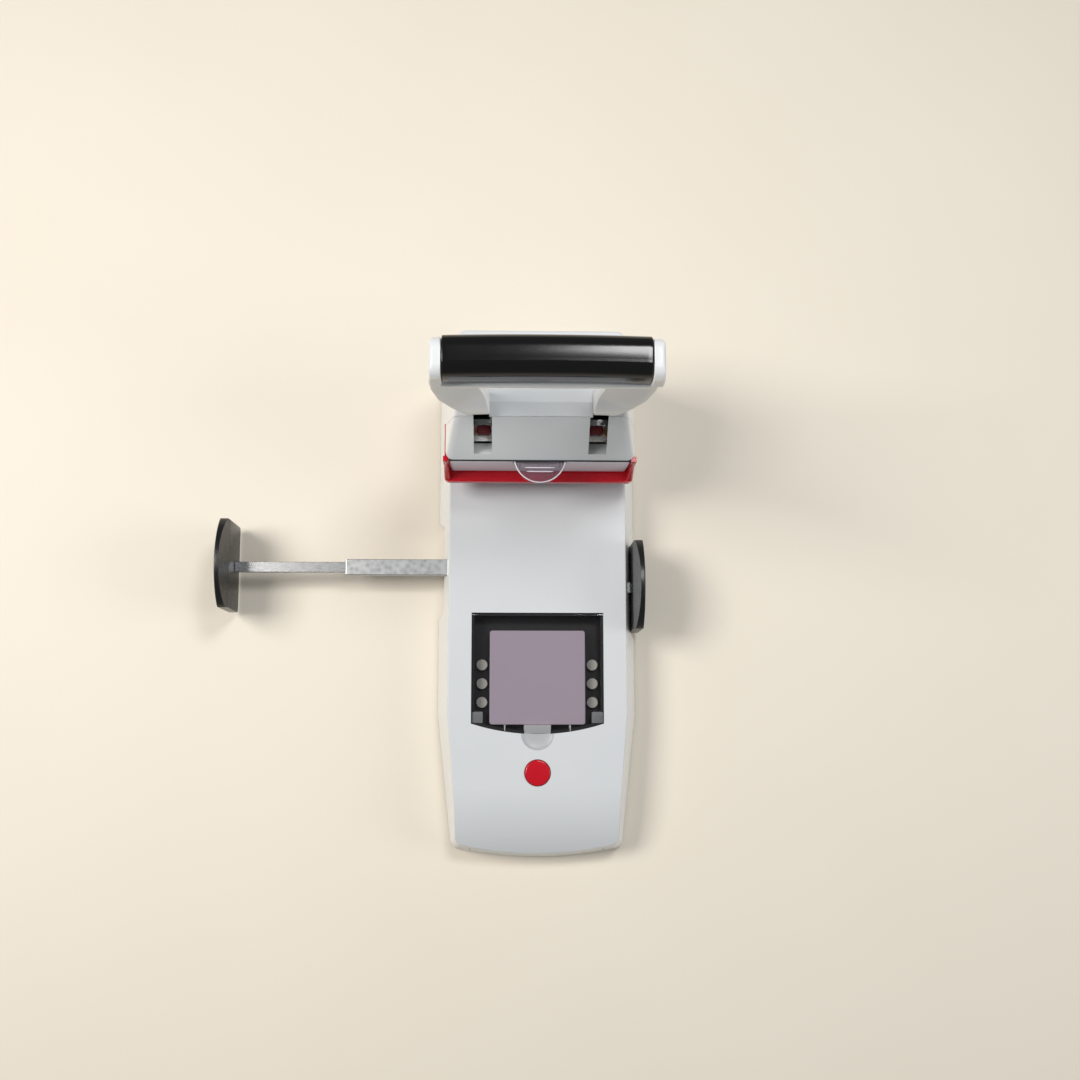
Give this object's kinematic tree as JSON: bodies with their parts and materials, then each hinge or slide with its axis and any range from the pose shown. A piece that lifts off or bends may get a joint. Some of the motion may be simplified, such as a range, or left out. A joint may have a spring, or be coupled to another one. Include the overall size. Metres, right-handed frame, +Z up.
{
  "type": "two-hole lever punch",
  "caption": "Heavy desk punch worked by a bow handle, with a deep paper table, extending side stops, a storage lid and a chip drawer.",
  "frame": {"origin": "on the desk plane, midway between the two punches", "axes": "+X right, +Y to the rear, +Z up; the paper goes in from the front towards +Y"},
  "size_m": [0.3135, 0.3722, 0.267],
  "materials": {
    "shell_grey": "moulded ABS, fine satin",
    "housing_white": "moulded ABS, satin",
    "grip_black": "smooth black",
    "red_plastic": "glossy red",
    "smoked_clear": "clear smoked polycarbonate",
    "dark_plastic": "moulded black, satin",
    "lilac_plastic": "moulded pale lilac",
    "rubber": "black rubber",
    "sheet_steel": "zinc-plated sheet",
    "bright_steel": "machined",
    "tool_steel": "ground",
    "bronze": "sintered bronze",
    "spring_steel": "oil-tempered wire",
    "disc_white": "white nylon"
  },
  "bodies": {
    "base": {"base_shell": "shell_grey", "head_front_cover": "shell_grey", "head_rear_cover": "shell_grey", "head_lower_housing": "housing_white", "paper_back_stop": "housing_white", "guide_frame_red": "red_plastic", "storage_tray": "dark_plastic", "button_cup": "dark_plastic", "rail_guide_left": "dark_plastic", "rail_guide_right": "dark_plastic", "storage_case": "lilac_plastic", "foot_rear": "rubber", "foot_front": "rubber", "head_seam_gasket": "rubber", "base_plate": "sheet_steel", "side_frame_left": "sheet_steel", "side_frame_right": "sheet_steel", "die_plate": "bright_steel", "punch_guide_plate": "bright_steel", "guide_column_left": "bright_steel", "guide_column_right": "bright_steel", "pivot_shaft": "bright_steel", "shaft_rings": "bright_steel", "frame_ties": "bright_steel", "frame_screws": "bright_steel", "lid_hinge_pins": "bright_steel", "die_bushes": "tool_steel", "return_spring_left": "spring_steel", "return_spring_right": "spring_steel", "button_spring": "spring_steel", "spare_discs": "disc_white"},
    "handle": {"handle_shell": "shell_grey", "grip_front": "grip_black", "grip_rear": "grip_black", "handle_screws": "bright_steel", "lever_arm_left": "bright_steel", "lever_arm_right": "bright_steel", "lever_hub": "bright_steel", "fork_left": "bright_steel", "fork_right": "bright_steel"},
    "carriage": {"crosshead": "bright_steel", "guide_bushes": "bronze", "punch_left": "tool_steel", "punch_right": "tool_steel", "punch_cap_left": "red_plastic", "punch_cap_right": "red_plastic", "fork_pins": "bright_steel"},
    "tab": {"release_tab": "smoked_clear"},
    "lid": {"storage_lid": "smoked_clear"},
    "button": {"red_button": "red_plastic"},
    "drawer": {"chip_drawer": "shell_grey"},
    "left_rail": {"stop_rail_outer_left": "sheet_steel"},
    "left_stop": {"stop_rail_inner_left": "bright_steel", "stop_plate_left": "dark_plastic"},
    "right_rail": {"stop_rail_outer_right": "sheet_steel"},
    "right_stop": {"stop_rail_inner_right": "bright_steel", "stop_plate_right": "dark_plastic"}
  },
  "joints": [
    {"name": "handle_swing", "type": "hinge", "parent": "base", "child": "handle", "pos_m": [0, 0.022, 0.095], "axis": [1, 0, 0], "range_deg": [0, 49.8], "stiffness_Nm_per_rad": 1.2, "springref_deg": -34.38},
    {"name": "punch_stroke", "type": "slide", "parent": "base", "child": "carriage", "axis": [0, 0, -1], "range_m": [0, 0.026]},
    {"name": "tab_slide", "type": "slide", "parent": "base", "child": "tab", "axis": [0, -1, 0], "range_m": [0, 0.008]},
    {"name": "lid_hinge", "type": "hinge", "parent": "base", "child": "lid", "pos_m": [0, -0.1265, 0.0348], "axis": [-1, 0, 0], "range_deg": [0, 92]},
    {"name": "button_press", "type": "slide", "parent": "base", "child": "button", "axis": [0, 0, -1], "range_m": [0, 0.003], "stiffness_N_per_m": 300, "springref_m": -0.003, "deforming": ["button_spring"]},
    {"name": "drawer_slide", "type": "slide", "parent": "base", "child": "drawer", "axis": [0, -1, 0], "range_m": [0, 0.2]},
    {"name": "left_outer_slide", "type": "slide", "parent": "base", "child": "left_rail", "axis": [1, 0, 0], "range_m": [0, 0.07875]},
    {"name": "left_inner_slide", "type": "slide", "parent": "left_rail", "child": "left_stop", "axis": [1, 0, 0], "range_m": [0, 0.07875]},
    {"name": "right_outer_slide", "type": "slide", "parent": "base", "child": "right_rail", "axis": [1, 0, 0], "range_m": [0, 0.07875]},
    {"name": "right_inner_slide", "type": "slide", "parent": "right_rail", "child": "right_stop", "axis": [1, 0, 0], "range_m": [0, 0.07875]}
  ],
  "couplings": [
    {"joint": "punch_stroke", "follows": "handle_swing", "m_per_rad": 0.0299}
  ]
}
